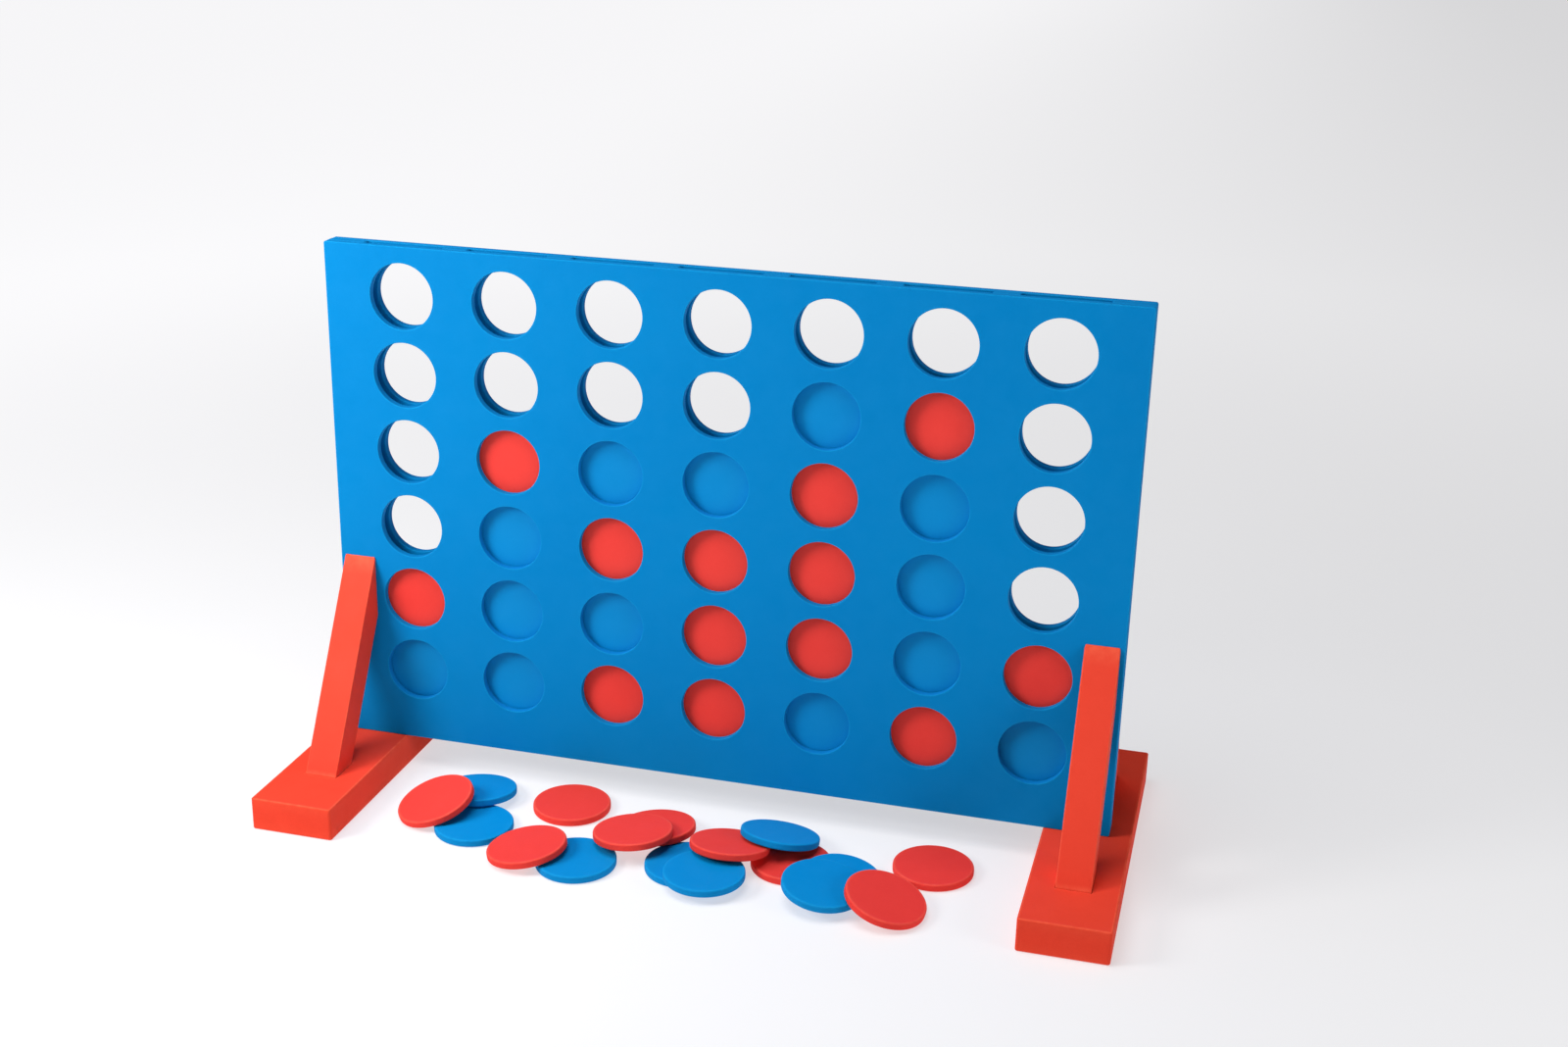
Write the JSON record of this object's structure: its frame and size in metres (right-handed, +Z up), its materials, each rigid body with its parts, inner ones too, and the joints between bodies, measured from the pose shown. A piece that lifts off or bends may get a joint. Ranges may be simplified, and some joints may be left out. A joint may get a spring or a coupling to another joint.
{
  "type": "giant four in a row lawn game",
  "caption": "Free-standing giant four-in-a-row lawn game in foam: an upright slotted board with rows of round windows, an A-frame foot at each end, and red and blue discs.",
  "frame": {"origin": "on the floor, midway between the two feet, in the middle plane of the board", "axes": "+X along the board to the right seen from the front, +Y from the front to the back, +Z up"},
  "size_m": [0.908, 0.4106, 0.5983],
  "materials": {
    "board_blue_foam": "matt closed-cell EVA foam sheet, bright mid blue",
    "stand_red_foam": "matt closed-cell EVA foam block, bright red, softly rounded cut edges",
    "disc_red_foam": "matt closed-cell EVA foam, bright red, slightly rounded rim",
    "disc_blue_foam": "matt closed-cell EVA foam, bright blue, slightly rounded rim"
  },
  "bodies": {
    "left_stand": {"left_base": "stand_red_foam", "left_front_strut": "stand_red_foam", "left_rear_strut": "stand_red_foam"},
    "right_stand": {"right_base": "stand_red_foam", "right_front_strut": "stand_red_foam", "right_rear_strut": "stand_red_foam"},
    "board": {"front_panel": "board_blue_foam", "back_panel": "board_blue_foam", "divider_1": "board_blue_foam", "divider_2": "board_blue_foam", "divider_3": "board_blue_foam", "divider_4": "board_blue_foam", "divider_5": "board_blue_foam", "divider_6": "board_blue_foam", "left_end_strip": "board_blue_foam", "right_end_strip": "board_blue_foam", "bottom_strip": "board_blue_foam"},
    "disc_c1_r1_blue": {"disc_c1_r1_blue": "disc_blue_foam"},
    "disc_c1_r2_red": {"disc_c1_r2_red": "disc_red_foam"},
    "disc_c2_r1_blue": {"disc_c2_r1_blue": "disc_blue_foam"},
    "disc_c2_r2_blue": {"disc_c2_r2_blue": "disc_blue_foam"},
    "disc_c2_r3_blue": {"disc_c2_r3_blue": "disc_blue_foam"},
    "disc_c2_r4_red": {"disc_c2_r4_red": "disc_red_foam"},
    "disc_c3_r1_red": {"disc_c3_r1_red": "disc_red_foam"},
    "disc_c3_r2_blue": {"disc_c3_r2_blue": "disc_blue_foam"},
    "disc_c3_r3_red": {"disc_c3_r3_red": "disc_red_foam"},
    "disc_c3_r4_blue": {"disc_c3_r4_blue": "disc_blue_foam"},
    "disc_c4_r1_red": {"disc_c4_r1_red": "disc_red_foam"},
    "disc_c4_r2_red": {"disc_c4_r2_red": "disc_red_foam"},
    "disc_c4_r3_red": {"disc_c4_r3_red": "disc_red_foam"},
    "disc_c4_r4_blue": {"disc_c4_r4_blue": "disc_blue_foam"},
    "disc_c5_r1_blue": {"disc_c5_r1_blue": "disc_blue_foam"},
    "disc_c5_r2_red": {"disc_c5_r2_red": "disc_red_foam"},
    "disc_c5_r3_red": {"disc_c5_r3_red": "disc_red_foam"},
    "disc_c5_r4_red": {"disc_c5_r4_red": "disc_red_foam"},
    "disc_c5_r5_blue": {"disc_c5_r5_blue": "disc_blue_foam"},
    "disc_c6_r1_red": {"disc_c6_r1_red": "disc_red_foam"},
    "disc_c6_r2_blue": {"disc_c6_r2_blue": "disc_blue_foam"},
    "disc_c6_r3_blue": {"disc_c6_r3_blue": "disc_blue_foam"},
    "disc_c6_r4_blue": {"disc_c6_r4_blue": "disc_blue_foam"},
    "disc_c6_r5_red": {"disc_c6_r5_red": "disc_red_foam"},
    "disc_c7_r1_blue": {"disc_c7_r1_blue": "disc_blue_foam"},
    "disc_c7_r2_red": {"disc_c7_r2_red": "disc_red_foam"},
    "loose_blue_2": {"loose_blue_2": "disc_blue_foam"},
    "loose_blue_1": {"loose_blue_1": "disc_blue_foam"},
    "loose_red_1": {"loose_red_1": "disc_red_foam"},
    "loose_red_2": {"loose_red_2": "disc_red_foam"},
    "loose_blue_3": {"loose_blue_3": "disc_blue_foam"},
    "loose_red_3": {"loose_red_3": "disc_red_foam"},
    "loose_red_7": {"loose_red_7": "disc_red_foam"},
    "loose_blue_4": {"loose_blue_4": "disc_blue_foam"},
    "loose_blue_5": {"loose_blue_5": "disc_blue_foam"},
    "loose_red_6": {"loose_red_6": "disc_red_foam"},
    "loose_blue_6": {"loose_blue_6": "disc_blue_foam"},
    "loose_red_5": {"loose_red_5": "disc_red_foam"},
    "loose_red_4": {"loose_red_4": "disc_red_foam"},
    "loose_blue_8": {"loose_blue_8": "disc_blue_foam"},
    "loose_blue_7": {"loose_blue_7": "disc_blue_foam"},
    "loose_red_8": {"loose_red_8": "disc_red_foam"},
    "loose_red_9": {"loose_red_9": "disc_red_foam"}
  },
  "joints": [
    {"name": "right_stand_pull", "type": "slide", "parent": "left_stand", "child": "right_stand", "axis": [1, 0, 0], "range_m": [0, 0.12]},
    {"name": "board_lift", "type": "slide", "parent": "left_stand", "child": "board", "axis": [0, 0, 1], "range_m": [0, 0.25]},
    {"name": "c1_r1_lift", "type": "slide", "parent": "board", "child": "disc_c1_r1_blue", "axis": [0, 0, 1], "range_m": [0, 0.525]},
    {"name": "c1_r2_lift", "type": "slide", "parent": "disc_c1_r1_blue", "child": "disc_c1_r2_red", "axis": [0, 0, 1], "range_m": [0, 0.44]},
    {"name": "c2_r1_lift", "type": "slide", "parent": "board", "child": "disc_c2_r1_blue", "axis": [0, 0, 1], "range_m": [0, 0.525]},
    {"name": "c2_r2_lift", "type": "slide", "parent": "disc_c2_r1_blue", "child": "disc_c2_r2_blue", "axis": [0, 0, 1], "range_m": [0, 0.44]},
    {"name": "c2_r3_lift", "type": "slide", "parent": "disc_c2_r2_blue", "child": "disc_c2_r3_blue", "axis": [0, 0, 1], "range_m": [0, 0.355]},
    {"name": "c2_r4_lift", "type": "slide", "parent": "disc_c2_r3_blue", "child": "disc_c2_r4_red", "axis": [0, 0, 1], "range_m": [0, 0.27]},
    {"name": "c3_r1_lift", "type": "slide", "parent": "board", "child": "disc_c3_r1_red", "axis": [0, 0, 1], "range_m": [0, 0.525]},
    {"name": "c3_r2_lift", "type": "slide", "parent": "disc_c3_r1_red", "child": "disc_c3_r2_blue", "axis": [0, 0, 1], "range_m": [0, 0.44]},
    {"name": "c3_r3_lift", "type": "slide", "parent": "disc_c3_r2_blue", "child": "disc_c3_r3_red", "axis": [0, 0, 1], "range_m": [0, 0.355]},
    {"name": "c3_r4_lift", "type": "slide", "parent": "disc_c3_r3_red", "child": "disc_c3_r4_blue", "axis": [0, 0, 1], "range_m": [0, 0.27]},
    {"name": "c4_r1_lift", "type": "slide", "parent": "board", "child": "disc_c4_r1_red", "axis": [0, 0, 1], "range_m": [0, 0.525]},
    {"name": "c4_r2_lift", "type": "slide", "parent": "disc_c4_r1_red", "child": "disc_c4_r2_red", "axis": [0, 0, 1], "range_m": [0, 0.44]},
    {"name": "c4_r3_lift", "type": "slide", "parent": "disc_c4_r2_red", "child": "disc_c4_r3_red", "axis": [0, 0, 1], "range_m": [0, 0.355]},
    {"name": "c4_r4_lift", "type": "slide", "parent": "disc_c4_r3_red", "child": "disc_c4_r4_blue", "axis": [0, 0, 1], "range_m": [0, 0.27]},
    {"name": "c5_r1_lift", "type": "slide", "parent": "board", "child": "disc_c5_r1_blue", "axis": [0, 0, 1], "range_m": [0, 0.525]},
    {"name": "c5_r2_lift", "type": "slide", "parent": "disc_c5_r1_blue", "child": "disc_c5_r2_red", "axis": [0, 0, 1], "range_m": [0, 0.44]},
    {"name": "c5_r3_lift", "type": "slide", "parent": "disc_c5_r2_red", "child": "disc_c5_r3_red", "axis": [0, 0, 1], "range_m": [0, 0.355]},
    {"name": "c5_r4_lift", "type": "slide", "parent": "disc_c5_r3_red", "child": "disc_c5_r4_red", "axis": [0, 0, 1], "range_m": [0, 0.27]},
    {"name": "c5_r5_lift", "type": "slide", "parent": "disc_c5_r4_red", "child": "disc_c5_r5_blue", "axis": [0, 0, 1], "range_m": [0, 0.185]},
    {"name": "c6_r1_lift", "type": "slide", "parent": "board", "child": "disc_c6_r1_red", "axis": [0, 0, 1], "range_m": [0, 0.525]},
    {"name": "c6_r2_lift", "type": "slide", "parent": "disc_c6_r1_red", "child": "disc_c6_r2_blue", "axis": [0, 0, 1], "range_m": [0, 0.44]},
    {"name": "c6_r3_lift", "type": "slide", "parent": "disc_c6_r2_blue", "child": "disc_c6_r3_blue", "axis": [0, 0, 1], "range_m": [0, 0.355]},
    {"name": "c6_r4_lift", "type": "slide", "parent": "disc_c6_r3_blue", "child": "disc_c6_r4_blue", "axis": [0, 0, 1], "range_m": [0, 0.27]},
    {"name": "c6_r5_lift", "type": "slide", "parent": "disc_c6_r4_blue", "child": "disc_c6_r5_red", "axis": [0, 0, 1], "range_m": [0, 0.185]},
    {"name": "c7_r1_lift", "type": "slide", "parent": "board", "child": "disc_c7_r1_blue", "axis": [0, 0, 1], "range_m": [0, 0.525]},
    {"name": "c7_r2_lift", "type": "slide", "parent": "disc_c7_r1_blue", "child": "disc_c7_r2_red", "axis": [0, 0, 1], "range_m": [0, 0.44]},
    {"name": "loose_blue_2_lift", "type": "slide", "parent": "left_stand", "child": "loose_blue_2", "axis": [0, 0, 1], "range_m": [0, 0.1]},
    {"name": "loose_blue_1_lift", "type": "slide", "parent": "loose_blue_2", "child": "loose_blue_1", "axis": [0, 0, 1], "range_m": [0, 0.1]},
    {"name": "loose_red_1_lift", "type": "slide", "parent": "loose_blue_1", "child": "loose_red_1", "axis": [0, 0, 1], "range_m": [0, 0.1]},
    {"name": "loose_red_2_lift", "type": "slide", "parent": "left_stand", "child": "loose_red_2", "axis": [0, 0, 1], "range_m": [0, 0.1]},
    {"name": "loose_blue_3_draw", "type": "slide", "parent": "left_stand", "child": "loose_blue_3", "axis": [0, -1, 0], "range_m": [0, 0.1]},
    {"name": "loose_red_3_lift", "type": "slide", "parent": "loose_blue_3", "child": "loose_red_3", "axis": [0, 0, 1], "range_m": [0, 0.1]},
    {"name": "loose_red_7_lift", "type": "slide", "parent": "left_stand", "child": "loose_red_7", "axis": [0, 0, 1], "range_m": [0, 0.1]},
    {"name": "loose_blue_4_lift", "type": "slide", "parent": "loose_red_7", "child": "loose_blue_4", "axis": [0, 0, 1], "range_m": [0, 0.1]},
    {"name": "loose_blue_5_lift", "type": "slide", "parent": "loose_blue_4", "child": "loose_blue_5", "axis": [0, 0, 1], "range_m": [0, 0.1]},
    {"name": "loose_red_6_lift", "type": "slide", "parent": "loose_blue_5", "child": "loose_red_6", "axis": [0, 0, 1], "range_m": [0, 0.1]},
    {"name": "loose_blue_6_lift", "type": "slide", "parent": "loose_red_6", "child": "loose_blue_6", "axis": [0, 0, 1], "range_m": [0, 0.1]},
    {"name": "loose_red_5_lift", "type": "slide", "parent": "loose_blue_4", "child": "loose_red_5", "axis": [0, 0, 1], "range_m": [0, 0.1]},
    {"name": "loose_red_4_lift", "type": "slide", "parent": "loose_red_5", "child": "loose_red_4", "axis": [0, 0, 1], "range_m": [0, 0.1]},
    {"name": "loose_blue_8_lift", "type": "slide", "parent": "loose_red_7", "child": "loose_blue_8", "axis": [0, 0, 1], "range_m": [0, 0.1]},
    {"name": "loose_blue_7_lift", "type": "slide", "parent": "loose_blue_8", "child": "loose_blue_7", "axis": [0, 0, 1], "range_m": [0, 0.1]},
    {"name": "loose_red_8_lift", "type": "slide", "parent": "loose_blue_7", "child": "loose_red_8", "axis": [0, 0, 1], "range_m": [0, 0.1]},
    {"name": "loose_red_9_lift", "type": "slide", "parent": "left_stand", "child": "loose_red_9", "axis": [0, 0, 1], "range_m": [0, 0.1]}
  ]
}
